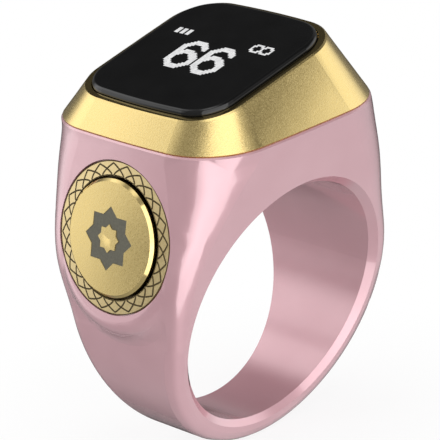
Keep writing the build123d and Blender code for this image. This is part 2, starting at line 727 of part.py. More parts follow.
def all_parts():
    """Every node of the assembly, in the order that the object is put together."""
    yield "ring_body", ring_body()
    yield "charge_contact_plus", charge_contact(CONTACT_HALF_PITCH)
    yield "charge_contact_minus", charge_contact(-CONTACT_HALF_PITCH)
    yield "charge_flex", charge_flex()
    yield "switch_flex", switch_flex()
    yield "switch_base", switch_base()
    yield "switch_dome", switch_dome()
    yield "switch_plunger", switch_plunger()
    yield "switch_cover", switch_cover()
    yield "button_cushion", button_cushion()
    yield "button_cap", button_cap()
    yield "button_inlay", button_inlay()
    yield "button_surround", button_surround()
    yield "battery_pad", battery_pad()
    yield "battery_cell", battery_cell()
    yield "battery_tabs", battery_tabs()
    yield "motor_base", motor_base()
    yield "motor_magnet", motor_magnet()
    yield "motor_rotor", motor_rotor()
    yield "motor_case", motor_case()
    yield "motor_pins", motor_pins()
    yield "main_board", main_board()
    yield "board_screws", board_screws()
    yield "counter_chip", on_board(CHIP_SHARE * BOARD_LEFT, 0, CHIP_X, CHIP_X, CHIP_T)
    crystal_x, crystal_y = CRYSTAL_SHARES
    spot = (crystal_x * BOARD_LEFT, crystal_y * BOARD_HALF_Y)
    yield "clock_crystal", on_board(*spot, CRYSTAL_X, CRYSTAL_Y, CRYSTAL_T)
    charger_x, charger_y = CHARGER_SHARES
    spot = (charger_x * BOARD_RIGHT, charger_y * BOARD_HALF_Y)
    yield "charger_chip", on_board(*spot, CHARGER_X, CHARGER_X, CHARGER_T)
    yield "chip_antenna", on_board(ANTENNA_SHARE * BOARD_LEFT, 0, ANTENNA_X, ANTENNA_Y, ANTENNA_T)
    yield "flex_socket", on_board(SOCKET_SHARE * BOARD_RIGHT, 0, SOCKET_X, SOCKET_Y, SOCKET_T)
    yield "display_flex", display_flex()
    yield "oled_panel", oled_panel()
    yield "display_glass", display_glass()
    yield "glass_tape", glass_tape()
    yield "bezel_gasket", bezel_gasket()
    yield "bezel_frame", bezel_frame()


os.makedirs("parts", exist_ok=True)
for name, shape in all_parts():
    export_step(shape, f"parts/{name}.step")
    box = shape.bounding_box()
    print(f"{name:22s} {box.size.X:7.3f} {box.size.Y:7.3f} {box.size.Z:7.3f} volume {shape.volume:9.3f}")
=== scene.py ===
import math
import bmesh
import bpy
from mathutils import Matrix, Quaternion, Vector


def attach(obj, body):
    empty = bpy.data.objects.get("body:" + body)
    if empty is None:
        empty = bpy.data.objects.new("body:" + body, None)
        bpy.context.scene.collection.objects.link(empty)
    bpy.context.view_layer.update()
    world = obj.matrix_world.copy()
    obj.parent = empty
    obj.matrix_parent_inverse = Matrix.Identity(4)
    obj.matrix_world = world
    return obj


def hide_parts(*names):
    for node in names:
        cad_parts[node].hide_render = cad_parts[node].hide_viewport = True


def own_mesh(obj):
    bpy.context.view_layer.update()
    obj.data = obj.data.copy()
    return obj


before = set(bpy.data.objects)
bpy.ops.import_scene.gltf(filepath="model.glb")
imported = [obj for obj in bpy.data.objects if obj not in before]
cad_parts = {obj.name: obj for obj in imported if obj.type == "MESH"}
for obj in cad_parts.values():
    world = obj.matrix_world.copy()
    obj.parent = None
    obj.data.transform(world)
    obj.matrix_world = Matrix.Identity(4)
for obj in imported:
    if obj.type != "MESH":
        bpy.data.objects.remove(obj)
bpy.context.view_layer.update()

# Ring body: one moulded shell, a finger band that widens upwards into a hollow head.
# Sprayed rose pink and covered with a clear gloss lacquer; every other piece is fixed
# into it. The lacquer has a faint orange peel, and the pink a faint pearl.
MM = 0.001
PINK_DEEP = (0.635, 0.365, 0.405, 1.0)
PINK_PALE = (0.675, 0.400, 0.440, 1.0)
PINK_DRIFT = 6.0 * MM
PINK_PEARL = 0.30
PINK_ROUGHNESS = (0.20, 0.26)
LACQUER_PEEL = 0.9 * MM
LACQUER_PEEL_DEPTH = 0.0006 * MM
LACQUER_IOR = 1.6
LACQUER_ROUGHNESS = 0.03


def new_finish(name):
    """A new material with its node tree and its shader."""
    material = bpy.data.materials.new(name)
    material.use_nodes = True
    tree = material.node_tree
    return material, tree, tree.nodes["Principled BSDF"]


def feed(tree, source, socket):
    """Links a socket to another node's output, or sets it to a plain number or colour."""
    if isinstance(source, bpy.types.NodeSocket):
        tree.links.new(source, socket)
    else:
        socket.default_value = source


def object_place(tree):
    """Where a point lies in the object's own frame, in metres."""
    return tree.nodes.new("ShaderNodeTexCoord").outputs["Object"]


def drift(tree, size, detail=2.0, place=None):
    """A value that wanders over the piece, with patches of a given size."""
    noise = tree.nodes.new("ShaderNodeTexNoise")
    noise.inputs["Scale"].default_value = 1.0 / size
    noise.inputs["Detail"].default_value = detail
    tree.links.new(place or object_place(tree), noise.inputs["Vector"])
    return noise.outputs["Fac"]


def spread(tree, value, low, high, start=0.3, end=0.7):
    """A value stretched to run from low to high while it goes from start to end."""
    stretch = tree.nodes.new("ShaderNodeMapRange")
    stretch.inputs["From Min"].default_value = start
    stretch.inputs["From Max"].default_value = end
    stretch.inputs["To Min"].default_value = low
    stretch.inputs["To Max"].default_value = high
    tree.links.new(value, stretch.inputs["Value"])
    return stretch.outputs["Result"]


def shade(tree, value, one, other):
    """A colour that goes from one to another as a value goes from 0 to 1."""
    mixed = tree.nodes.new("ShaderNodeMix")
    mixed.data_type = "RGBA"
    feed(tree, value, mixed.inputs[0])
    feed(tree, one, mixed.inputs[6])
    feed(tree, other, mixed.inputs[7])
    return mixed.outputs[2]


def emboss(tree, shader, value, depth):
    """Small relief on a finish, with its depth in metres."""
    bump = tree.nodes.new("ShaderNodeBump")
    bump.inputs["Strength"].default_value = 1.0
    bump.inputs["Distance"].default_value = depth
    tree.links.new(value, bump.inputs["Height"])
    tree.links.new(bump.outputs["Normal"], shader.inputs["Normal"])


def dress(material, *nodes):
    """Gives CAD nodes a finish."""
    for node in nodes:
        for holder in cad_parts[node].material_slots:
            holder.material = material


pink_lacquer, tree, shader = new_finish("pink_lacquer")
tone = spread(tree, drift(tree, PINK_DRIFT), 0.0, 1.0)
tree.links.new(shade(tree, tone, PINK_DEEP, PINK_PALE), shader.inputs["Base Color"])
peel = drift(tree, LACQUER_PEEL, 1.0)
tree.links.new(spread(tree, peel, *PINK_ROUGHNESS), shader.inputs["Roughness"])
emboss(tree, shader, peel, LACQUER_PEEL_DEPTH)
shader.inputs["Metallic"].default_value = PINK_PEARL
shader.inputs["IOR"].default_value = LACQUER_IOR
shader.inputs["Coat Weight"].default_value = 1.0
shader.inputs["Coat IOR"].default_value = LACQUER_IOR
shader.inputs["Coat Roughness"].default_value = LACQUER_ROUGHNESS
dress(pink_lacquer, "ring_body")


# Charging contacts: two turned brass pins with a flange, plated with gold, pressed into
# the roof of the finger bore from inside. The motor's solder pins have the same plating.
def grained_finish(name, colours, grain, detail, roughness, relief, metallic=0.0):
    """A finish whose colour, gloss and relief all follow one grain, with sizes in metres."""
    material, tree, shader = new_finish(name)
    value = drift(tree, grain, detail)
    colour = shade(tree, spread(tree, value, 0.0, 1.0), *colours)
    tree.links.new(colour, shader.inputs["Base Color"])
    tree.links.new(spread(tree, value, *roughness), shader.inputs["Roughness"])
    emboss(tree, shader, value, relief)
    shader.inputs["Metallic"].default_value = metallic
    return material


contact_plating = grained_finish(
    "contact_plating",
    colours=((0.80, 0.56, 0.18, 1.0), (0.88, 0.66, 0.28, 1.0)),
    grain=0.15 * MM,
    detail=4.0,
    roughness=(0.16, 0.30),
    relief=0.002 * MM,
    metallic=1.0,
)
dress(contact_plating, "charge_contact_plus", "charge_contact_minus", "motor_pins")

# Flat circuits: amber film with copper tracks under it, bent to shape when the ring is
# closed. One runs to the charging contacts, one to the switch and one to the display.
FILM_AMBER = (0.42, 0.17, 0.03, 1.0)
FILM_OVER_TRACK = (0.62, 0.33, 0.10, 1.0)
FILM_GRAIN = 0.5 * MM
FILM_ROUGHNESS = (0.30, 0.45)
TRACK_PITCH = 0.8 * MM
TRACK_HEIGHT = 0.01 * MM
TRACK_EDGE_SHARES = (0.45, 0.55)
WAVE_PERIOD = 0.31
amber_film, tree, shader = new_finish("amber_film")
tracks = tree.nodes.new("ShaderNodeTexWave")
tracks.bands_direction = "Y"
tracks.inputs["Scale"].default_value = WAVE_PERIOD / TRACK_PITCH
tree.links.new(object_place(tree), tracks.inputs["Vector"])
track = spread(tree, tracks.outputs["Fac"], 0.0, 1.0, *TRACK_EDGE_SHARES)
tree.links.new(shade(tree, track, FILM_AMBER, FILM_OVER_TRACK), shader.inputs["Base Color"])
tree.links.new(spread(tree, drift(tree, FILM_GRAIN), *FILM_ROUGHNESS), shader.inputs["Roughness"])
emboss(tree, shader, track, TRACK_HEIGHT)
dress(amber_film, "charge_flex", "switch_flex", "display_flex")

# Tact switch: a black moulded base, an ivory plunger and a thin steel cover plate, soldered
# to its flat circuit on the button's axis. The snap dome under the plunger is spring steel,
# which a press of the button flattens; here it is one welded mesh, fixed to the ring.
moulded_black = grained_finish(
    "moulded_black",
    colours=((0.018, 0.018, 0.018, 1.0), (0.042, 0.042, 0.042, 1.0)),
    grain=0.06 * MM,
    detail=3.0,
    roughness=(0.45, 0.65),
    relief=0.004 * MM,
)
dress(moulded_black, "switch_base", "counter_chip", "charger_chip")

ivory_nylon = grained_finish(
    "ivory_nylon",
    colours=((0.70, 0.64, 0.52, 1.0), (0.78, 0.73, 0.62, 1.0)),
    grain=0.2 * MM,
    detail=3.0,
    roughness=(0.38, 0.52),
    relief=0.004 * MM,
)
dress(ivory_nylon, "switch_plunger", "flex_socket")

STEEL_DARK = (0.48, 0.48, 0.47, 1.0)
STEEL_LIGHT = (0.62, 0.62, 0.61, 1.0)
STEEL_ROUGHNESS = (0.22, 0.38)
ROLL_MARK = 0.05 * MM
ROLL_MARK_SHARES = (1.0, 0.04, 1.0)
ROLL_MARK_DEPTH = 0.002 * MM
rolled_steel, tree, shader = new_finish("rolled_steel")
drawn_out = tree.nodes.new("ShaderNodeMapping")
drawn_out.inputs["Scale"].default_value = ROLL_MARK_SHARES
tree.links.new(object_place(tree), drawn_out.inputs["Vector"])
marks = drift(tree, ROLL_MARK, 4.0, drawn_out.outputs["Vector"])
tree.links.new(shade(tree, marks, STEEL_DARK, STEEL_LIGHT), shader.inputs["Base Color"])
tree.links.new(spread(tree, marks, *STEEL_ROUGHNESS), shader.inputs["Roughness"])
emboss(tree, shader, marks, ROLL_MARK_DEPTH)
shader.inputs["Metallic"].default_value = 1.0
# The board's screws, the crystal, the motor's shell and the battery's tabs look the same.
dress(rolled_steel, "switch_cover", "board_screws", "motor_base", "motor_case")
dress(rolled_steel, "clock_crystal", "battery_tabs")

BUTTON_LEAN = math.radians(12.5)
BUTTON_OUT = Vector((-math.cos(BUTTON_LEAN), 0.0, math.sin(BUTTON_LEAN)))
DOME_WELD = 0.0001 * MM
DOME_CREASE = math.radians(30.0)
pressed_sheet = bmesh.new()
pressed_sheet.from_mesh(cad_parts["switch_dome"].data)
bmesh.ops.remove_doubles(pressed_sheet, verts=pressed_sheet.verts, dist=DOME_WELD)
dome_mesh = bpy.data.meshes.new("snap_dome")
pressed_sheet.to_mesh(dome_mesh)
pressed_sheet.free()
dome_mesh.shade_smooth()
dome_mesh.set_sharp_from_angle(angle=DOME_CREASE)
dome_mesh.materials.append(rolled_steel)
snap_dome = bpy.data.objects.new("snap_dome", dome_mesh)
bpy.context.scene.collection.objects.link(snap_dome)
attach(snap_dome, "ring")
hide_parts("switch_dome")
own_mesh(snap_dome)

# Button cushion and bezel gasket: die-cut black silicone. The cushion is glued under the
# button's flange, and the gasket lies in the rebate that the bezel's skirt presses on.
black_silicone = grained_finish(
    "black_silicone",
    colours=((0.030, 0.030, 0.031, 1.0), (0.065, 0.065, 0.066, 1.0)),
    grain=0.12 * MM,
    detail=4.0,
    roughness=(0.60, 0.80),
    relief=0.006 * MM,
)
dress(black_silicone, "button_cushion", "bezel_gasket")

# Counting button: a turned aluminium cap, bead-blasted on its face, with a diamond-cut
# bevel left bright round it, and anodised gold. It slides in the surround ring, and its
# flank below about the ring's face is painted near-black, a painted shade of the gap round it.
BUTTON_AT = Vector((-11.85, 0.0, 8.0)) * MM
CAP_FACE_R = 4.30 * MM
# Painted shade: below this height the cap's flank takes a near-black colour, standing in for the shadow in
# the gap.
CAP_SHADE_BELOW = -0.03 * MM
CAP_SHADE_COLOUR = (0.030, 0.022, 0.012, 1.0)
CAP_EDGE_SOFT = 0.02 * MM
GOLD_DEEP = (0.715, 0.540, 0.215, 1.0)
GOLD_PALE = (0.815, 0.640, 0.285, 1.0)
BLAST_GRAIN = 0.12 * MM
BLAST_DEPTH = 0.005 * MM
BLAST_MIDDLE = 0.5
POLISH_DRIFT = 1.2 * MM


def vector_math(tree, operation, vector, other=None):
    """What a Vector Math node makes of a vector, alone or with another one."""
    node = tree.nodes.new("ShaderNodeVectorMath")
    node.operation = operation
    tree.links.new(vector, node.inputs[0])
    if other is not None:
        node.inputs[1].default_value = other
    return node.outputs["Value" if operation in ("LENGTH", "DOT_PRODUCT") else "Vector"]


def button_place(tree):
    """How far a point lies from the button's axis and above its seat, in metres."""
    from_seat = vector_math(tree, "SUBTRACT", object_place(tree), BUTTON_AT)
    aside = vector_math(tree, "CROSS_PRODUCT", from_seat, BUTTON_OUT)
    return vector_math(tree, "LENGTH", aside), vector_math(tree, "DOT_PRODUCT", from_seat, BUTTON_OUT)


def blend_values(tree, mask, one, other):
    """One value where a mask is 0 and another where it is 1."""
    mixed = tree.nodes.new("ShaderNodeMix")
    feed(tree, mask, mixed.inputs[0])
    feed(tree, one, mixed.inputs[2])
    feed(tree, other, mixed.inputs[3])
    return mixed.outputs[0]


def blast(tree, shader, bare, satin, bright):
    """Bead-blasts gold, except where a mask says that it is left bare, and gives its colour."""
    beads = drift(tree, BLAST_GRAIN, 3.0)
    polish = drift(tree, POLISH_DRIFT)
    roughness = blend_values(tree, bare, spread(tree, beads, *satin), spread(tree, polish, *bright))
    tree.links.new(roughness, shader.inputs["Roughness"])
    emboss(tree, shader, blend_values(tree, bare, beads, BLAST_MIDDLE), BLAST_DEPTH)
    shader.inputs["Metallic"].default_value = 1.0
    return shade(tree, spread(tree, beads, 0.0, 1.0), GOLD_DEEP, GOLD_PALE)


blasted_cap, tree, shader = new_finish("blasted_cap")
radius, rise = button_place(tree)
bevel = spread(tree, radius, 0.0, 1.0, CAP_FACE_R - CAP_EDGE_SOFT, CAP_FACE_R + CAP_EDGE_SOFT)
# Painted shade mask: 1 on the flank below the set height, where the gap's shadow is painted in.
painted_shade = spread(tree, rise, 1.0, 0.0, CAP_SHADE_BELOW - CAP_EDGE_SOFT, CAP_SHADE_BELOW + CAP_EDGE_SOFT)
gold = blast(tree, shader, bevel, satin=(0.24, 0.36), bright=(0.07, 0.12))
tree.links.new(shade(tree, painted_shade, gold, CAP_SHADE_COLOUR), shader.inputs["Base Color"])
dress(blasted_cap, "button_cap")

# Inlay in the cap: dark enamel wiped into a milled eight-pointed star, a hair below the
# face of the cap.
dark_enamel = grained_finish(
    "dark_enamel",
    colours=((0.085, 0.080, 0.055, 1.0), (0.125, 0.118, 0.085, 1.0)),
    grain=0.15 * MM,
    detail=3.0,
    roughness=(0.34, 0.50),
    relief=0.004 * MM,
)
dress(dark_enamel, "button_inlay")

# Surround ring: a pale gold anodised washer pressed into the ring body round the button.
# Its face is engraved with a lattice of crossing lines outside a round inner border, and
# the lines are blackened. A thin dark ring at its outer rim is painted shade of the seam.
pale_gold = grained_finish(
    "pale_gold",
    colours=((0.74, 0.58, 0.29, 1.0), (0.84, 0.69, 0.38, 1.0)),
    grain=0.14 * MM,
    detail=3.0,
    roughness=(0.34, 0.46),
    relief=0.004 * MM,
    metallic=1.0,
)
dress(pale_gold, "button_surround")

blackened_line_and_seam_shade = grained_finish(
    "blackened_line_and_seam_shade",
    colours=((0.050, 0.034, 0.010, 1.0), (0.095, 0.066, 0.022, 1.0)),
    grain=0.1 * MM,
    detail=3.0,
    roughness=(0.45, 0.65),
    relief=0.003 * MM,
    metallic=0.5,
)

BUTTON_UP = Vector((math.sin(BUTTON_LEAN), 0.0, math.cos(BUTTON_LEAN)))
BUTTON_ASIDE = Vector((0.0, -1.0, 0.0))
WASHER_IN_R = 4.72 * MM
WASHER_WIDTH = 1.1 * MM
WASHER_FALL = 0.1 * MM
LATTICE_REPEATS = 24
LATTICE_TIP_R = 5.64 * MM
LATTICE_FOOT_R = 4.79 * MM
LATTICE_REACH_SHARE = 0.91
LATTICE_BEND_SHARE = 0.55
LATTICE_LINE_W = 0.125 * MM
LATTICE_LINE_H = 0.02 * MM
LATTICE_STEPS = 14
BORDER_IN_R = 4.755 * MM
BORDER_IN_W = 0.06 * MM
# Painted shade: a thin dark ring at the washer's outer rim, standing in for the shadow in the seam round
# it.
SEAM_SHADE_R = 5.785 * MM
SEAM_SHADE_W = 0.06 * MM
BORDER_STEPS = 6
FULL_TURN = 2.0 * math.pi


def crossing_lines():
    """The two lines of one repeat that leave one tip, as radii and angles."""
    lines = []
    step = FULL_TURN / LATTICE_REPEATS
    for way in (-1.0, 1.0):
        line = []
        for i in range(LATTICE_STEPS + 1):
            down = i / LATTICE_STEPS
            late = max(0.0, down - LATTICE_BEND_SHARE) / (1.0 - LATTICE_BEND_SHARE)
            lost = (1.0 - LATTICE_REACH_SHARE) * late * late
            turn = step / 2.0 + way * step * (down - lost)
            line.append((LATTICE_TIP_R + down * (LATTICE_FOOT_R - LATTICE_TIP_R), turn))
        lines.append(line)
    return lines


def border_arc(radius):
    """One repeat of a round line, as radii and angles."""
    step = FULL_TURN / LATTICE_REPEATS
    return [(radius, step * i / BORDER_STEPS) for i in range(BORDER_STEPS + 1)]


def on_washer(lines):
    """Points and edges of lines laid on the washer's sloping face."""
    points, edges = [], []
    for line in lines:
        edges += [(len(points) + i, len(points) + i + 1) for i in range(len(line) - 1)]
        for radius, turn in line:
            height = WASHER_FALL / WASHER_WIDTH * (WASHER_IN_R - radius)
            points.append((radius * math.cos(turn), radius * math.sin(turn), height))
    return points, edges


def new_tree(name, inputs):
    """An empty Geometry Nodes tree with named inputs for its sizes."""
    group = bpy.data.node_groups.new(name, "GeometryNodeTree")
    group.interface.new_socket("Geometry", in_out="INPUT", socket_type="NodeSocketGeometry")
    for label, kind in inputs:
        group.interface.new_socket(label, in_out="INPUT", socket_type=kind)
    group.interface.new_socket("Geometry", in_out="OUTPUT", socket_type="NodeSocketGeometry")
    return group, group.nodes.new("NodeGroupInput"), group.nodes.new("NodeGroupOutput")


def join(group, *pairs):
    """Links pairs of sockets in a tree."""
    for start, end in pairs:
        group.links.new(start, end)


def number_math(tree, operation, one, other):
    """What a Math node makes of two numbers."""
    node = tree.nodes.new("ShaderNodeMath")
    node.operation = operation
    feed(tree, one, node.inputs[0])
    feed(tree, other, node.inputs[1])
    return node.outputs["Value"]


def run_tree(name, points, edges, group, sizes):
    """A piece made by a Geometry Nodes tree, turned into a plain mesh."""
    mesh = bpy.data.meshes.new(name)
    mesh.from_pydata(points, edges, [])
    piece = bpy.data.objects.new(name, mesh)
    bpy.context.scene.collection.objects.link(piece)
    nodes = piece.modifiers.new("nodes", "NODES")
    nodes.node_group = group
    for item in group.interface.items_tree:
        if item.in_out == "INPUT" and item.name in sizes:
            nodes[item.identifier] = sizes[item.name]
    ready = piece.evaluated_get(bpy.context.evaluated_depsgraph_get())
    plain = bpy.data.meshes.new_from_object(ready)
    piece.modifiers.clear()
    piece.data = plain
    return piece


lattice_tree, given, made = new_tree(
    "surround_lattice",
    [("Repeats", "NodeSocketInt"), ("Line Width", "NodeSocketFloat"), ("Line Height", "NodeSocketFloat")],
)
line_path = lattice_tree.nodes.new("GeometryNodeMeshToCurve")
line_section = lattice_tree.nodes.new("GeometryNodeCurvePrimitiveQuadrilateral")
line_body = lattice_tree.nodes.new("GeometryNodeCurveToMesh")
line_body.inputs["Fill Caps"].default_value = True
spots = lattice_tree.nodes.new("GeometryNodePoints")
number = lattice_tree.nodes.new("GeometryNodeInputIndex")
share = number_math(lattice_tree, "DIVIDE", number.outputs["Index"], given.outputs["Repeats"])
about_axis = lattice_tree.nodes.new("ShaderNodeCombineXYZ")
copies = lattice_tree.nodes.new("GeometryNodeInstanceOnPoints")
placed = lattice_tree.nodes.new("GeometryNodeTransform")
button_axes = Matrix((BUTTON_ASIDE, BUTTON_UP, BUTTON_OUT)).transposed()
placed.inputs["Translation"].default_value = BUTTON_AT
placed.inputs["Rotation"].default_value = button_axes.to_euler()
solid = lattice_tree.nodes.new("GeometryNodeRealizeInstances")
coloured = lattice_tree.nodes.new("GeometryNodeSetMaterial")
coloured.inputs["Material"].default_value = blackened_line_and_seam_shade
join(
    lattice_tree,
    (given.outputs["Geometry"], line_path.inputs["Mesh"]),
    (given.outputs["Line Width"], line_section.inputs["Width"]),
    (given.outputs["Line Height"], line_section.inputs["Height"]),
    (line_path.outputs["Curve"], line_body.inputs["Curve"]),
    (line_section.outputs["Curve"], line_body.inputs["Profile Curve"]),
    (given.outputs["Repeats"], spots.inputs["Count"]),
    (number_math(lattice_tree, "MULTIPLY", share, FULL_TURN), about_axis.inputs["Z"]),
    (spots.outputs["Points"], copies.inputs["Points"]),
    (line_body.outputs["Mesh"], copies.inputs["Instance"]),
    (about_axis.outputs["Vector"], copies.inputs["Rotation"]),
    (copies.outputs["Instances"], placed.inputs["Geometry"]),
    (placed.outputs["Geometry"], solid.inputs["Geometry"]),
    (solid.outputs["Geometry"], coloured.inputs["Geometry"]),
    (coloured.outputs["Geometry"], made.inputs["Geometry"]),
)
for name, lines, width in (
    ("surround_lattice", crossing_lines(), LATTICE_LINE_W),
    ("surround_inner_border", [border_arc(BORDER_IN_R)], BORDER_IN_W),
    # The outer ring is painted shade of the seam, not an engraved line.
    ("surround_seam_shade", [border_arc(SEAM_SHADE_R)], SEAM_SHADE_W),
):
    sizes = {"Repeats": LATTICE_REPEATS, "Line Width": width, "Line Height": LATTICE_LINE_H}
    engraving = run_tree(name, *on_washer(lines), lattice_tree, sizes)
    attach(engraving, "ring")

# Battery: a small lithium pouch in laminated foil, held down by a foam pad under it, with
# two nickel tabs up to the board. The glass is stuck down with tape of the same foam.
pouch_foil = grained_finish(
    "pouch_foil",
    colours=((0.52, 0.53, 0.55, 1.0), (0.66, 0.67, 0.69, 1.0)),
    grain=1.4 * MM,
    detail=5.0,
    roughness=(0.25, 0.42),
    relief=0.05 * MM,
    metallic=0.9,
)
dress(pouch_foil, "battery_cell")

foam_tape = grained_finish(
    "foam_tape",
    colours=((0.010, 0.010, 0.010, 1.0), (0.035, 0.035, 0.035, 1.0)),
    grain=0.18 * MM,
    detail=5.0,
    roughness=(0.75, 0.95),
    relief=0.03 * MM,
)
dress(foam_tape, "battery_pad", "glass_tape")

# Vibration motor: a coin motor whose half-round tungsten weight spins on a fixed shaft
# over a ring magnet, inside a drawn steel case.
sintered_magnet = grained_finish(
    "sintered_magnet",
    colours=((0.07, 0.07, 0.075, 1.0), (0.15, 0.15, 0.155, 1.0)),
    grain=0.08 * MM,
    detail=5.0,
    roughness=(0.40, 0.60),
    relief=0.006 * MM,
    metallic=0.7,
)
dress(sintered_magnet, "motor_magnet")

tungsten_weight = grained_finish(
    "tungsten_weight",
    colours=((0.30, 0.30, 0.31, 1.0), (0.40, 0.40, 0.41, 1.0)),
    grain=0.1 * MM,
    detail=4.0,
    roughness=(0.30, 0.50),
    relief=0.005 * MM,
    metallic=1.0,
)
dress(tungsten_weight, "motor_rotor")

# Main board: green solder mask over copper tracks, on four screw posts. It carries the
# counter chip, the charger chip, the crystal, the antenna and the display's socket.
MASK_DARK = (0.012, 0.105, 0.045, 1.0)
MASK_OVER_COPPER = (0.030, 0.200, 0.080, 1.0)
MASK_GRAIN = 0.4 * MM
MASK_ROUGHNESS = (0.28, 0.40)
COPPER_CELL = 1.6 * MM
COPPER_LINE_SHARE = 0.06
COPPER_HEIGHT = 0.012 * MM
NO_COPPER = (0.0, 0.0, 0.0, 1.0)
THIN_COPPER = (0.25, 0.25, 0.25, 1.0)
FULL_COPPER = (1.0, 1.0, 1.0, 1.0)
green_mask, tree, shader = new_finish("green_mask")
copper = tree.nodes.new("ShaderNodeTexBrick")
copper.inputs["Scale"].default_value = 1.0 / COPPER_CELL
copper.inputs["Color1"].default_value = NO_COPPER
copper.inputs["Color2"].default_value = THIN_COPPER
copper.inputs["Mortar"].default_value = FULL_COPPER
copper.inputs["Mortar Size"].default_value = COPPER_LINE_SHARE
tree.links.new(object_place(tree), copper.inputs["Vector"])
colour = shade(tree, copper.outputs["Color"], MASK_DARK, MASK_OVER_COPPER)
tree.links.new(colour, shader.inputs["Base Color"])
tree.links.new(spread(tree, drift(tree, MASK_GRAIN), *MASK_ROUGHNESS), shader.inputs["Roughness"])
emboss(tree, shader, copper.outputs["Color"], COPPER_HEIGHT)
dress(green_mask, "main_board")

white_ceramic = grained_finish(
    "white_ceramic",
    colours=((0.72, 0.72, 0.68, 1.0), (0.82, 0.82, 0.79, 1.0)),
    grain=0.1 * MM,
    detail=4.0,
    roughness=(0.40, 0.55),
    relief=0.004 * MM,
)
dress(white_ceramic, "chip_antenna")

# Display: a small panel bonded under a black-backed cover glass with a rounded edge. The
# glass is stuck to the bezel's ledge with a ring of foam tape.
PANEL_DARK = (0.012, 0.012, 0.016, 1.0)
PANEL_LIGHT = (0.022, 0.022, 0.028, 1.0)
PANEL_GRAIN = 0.2 * MM
PANEL_ROUGHNESS = (0.12, 0.20)
panel_face, tree, shader = new_finish("panel_face")
grain = drift(tree, PANEL_GRAIN)
colour = shade(tree, spread(tree, grain, 0.0, 1.0), PANEL_DARK, PANEL_LIGHT)
tree.links.new(colour, shader.inputs["Base Color"])
tree.links.new(spread(tree, grain, *PANEL_ROUGHNESS), shader.inputs["Roughness"])
dress(panel_face, "oled_panel")

black_glass = grained_finish(
    "black_glass",
    colours=((0.0046, 0.0046, 0.0047, 1.0), (0.0068, 0.0068, 0.0070, 1.0)),
    grain=2.5 * MM,
    detail=3.0,
    roughness=(0.05, 0.09),
    relief=0.0005 * MM,
)
dress(black_glass, "display_glass")

# Lit pixels of the display: a count in the middle, three battery bars at the upper left
# and a loop sign at the upper right, shown as squares of light on the glass. The strokes,
# bars and loops are drawn on a grid of pixels from the count's lower left corner.
DISPLAY_AT = Vector((-1.03, 0.0, 18.98)) * MM
DISPLAY_LEAN = math.radians(12.65)
GLASS_TOP = 0.454 * MM
PIXEL = 0.19 * MM
PIXEL_FILL_SHARE = 0.985
GRID_LEFT = 2.74 * MM
GRID_FOOT = -2.53 * MM
PEN_HALF = 1.5
DIGIT_STEP = 15
DIGIT_STROKES = (
    ((11.9, 16.4), (8.8, 19.5), (5.2, 19.5), (1.5, 15.8), (1.5, 5.2), (5.2, 1.5), (8.8, 1.5), (12.5, 5.2)),
    ((12.5, 5.2), (12.5, 8.4), (8.8, 12.1), (4.8, 12.1), (2.2, 9.8)),
)
DIGIT_COLUMNS = 14
DIGIT_ROWS = 21
BAR_CORNERS = ((-12, 23), (-9, 23), (-6, 23))
BAR_COLUMNS = 2
BAR_ROWS = 4
LOOP_CORNERS = ((30, 22), (35, 22))
LOOP_SIZE = 6
GLOW_LOW = (0.66, 0.66, 0.67, 1.0)
GLOW_HIGH = (0.86, 0.86, 0.86, 1.0)
GLOW_DRIFT = 0.35 * MM
PIXEL_UNLIT = (0.02, 0.02, 0.02, 1.0)
PIXEL_SPECULAR = 0.1
PIXEL_ROUGHNESS = (0.3, 0.4)


def near_stroke(x, y):
    """Whether a pixel's centre lies under the pen that draws the digit."""
    for stroke in DIGIT_STROKES:
        for (x0, y0), (x1, y1) in zip(stroke, stroke[1:]):
            dx, dy = x1 - x0, y1 - y0
            t = ((x - x0) * dx + (y - y0) * dy) / (dx * dx + dy * dy)
            t = min(1.0, max(0.0, t))
            if math.hypot(x - x0 - t * dx, y - y0 - t * dy) < PEN_HALF:
                return True
    return False


def on_loop(i, j):
    """Whether a pixel of a small square lies on its round loop."""
    last = LOOP_SIZE - 1
    corner = i in (0, last) and j in (0, last)
    rim = i in (0, last) or j in (0, last)
    inner_corner = i in (1, last - 1) and j in (1, last - 1)
    return (rim and not corner) or inner_corner


def lit_pixels():
    """Column and row of every lit pixel."""
    lit = set()
    for column in range(DIGIT_COLUMNS):
        for row in range(DIGIT_ROWS):
            if near_stroke(column + 0.5, row + 0.5):
                lit.update({(column, row), (column + DIGIT_STEP, row)})
    for left, foot in BAR_CORNERS:
        lit.update((left + i, foot + j) for i in range(BAR_COLUMNS) for j in range(BAR_ROWS))
    loop = [(i, j) for i in range(LOOP_SIZE) for j in range(LOOP_SIZE) if on_loop(i, j)]
    for left, foot in LOOP_CORNERS:
        lit.update((left + i, foot + j) for i, j in loop)
    return sorted(lit)


lit_pixel, tree, shader = new_finish("lit_pixel")
flicker = drift(tree, GLOW_DRIFT)
glow = shade(tree, spread(tree, flicker, 0.0, 1.0), GLOW_LOW, GLOW_HIGH)
shader.inputs["Base Color"].default_value = PIXEL_UNLIT
shader.inputs["Specular IOR Level"].default_value = PIXEL_SPECULAR
shader.inputs["Emission Strength"].default_value = 1.0
tree.links.new(glow, shader.inputs["Emission Color"])
tree.links.new(spread(tree, flicker, *PIXEL_ROUGHNESS), shader.inputs["Roughness"])

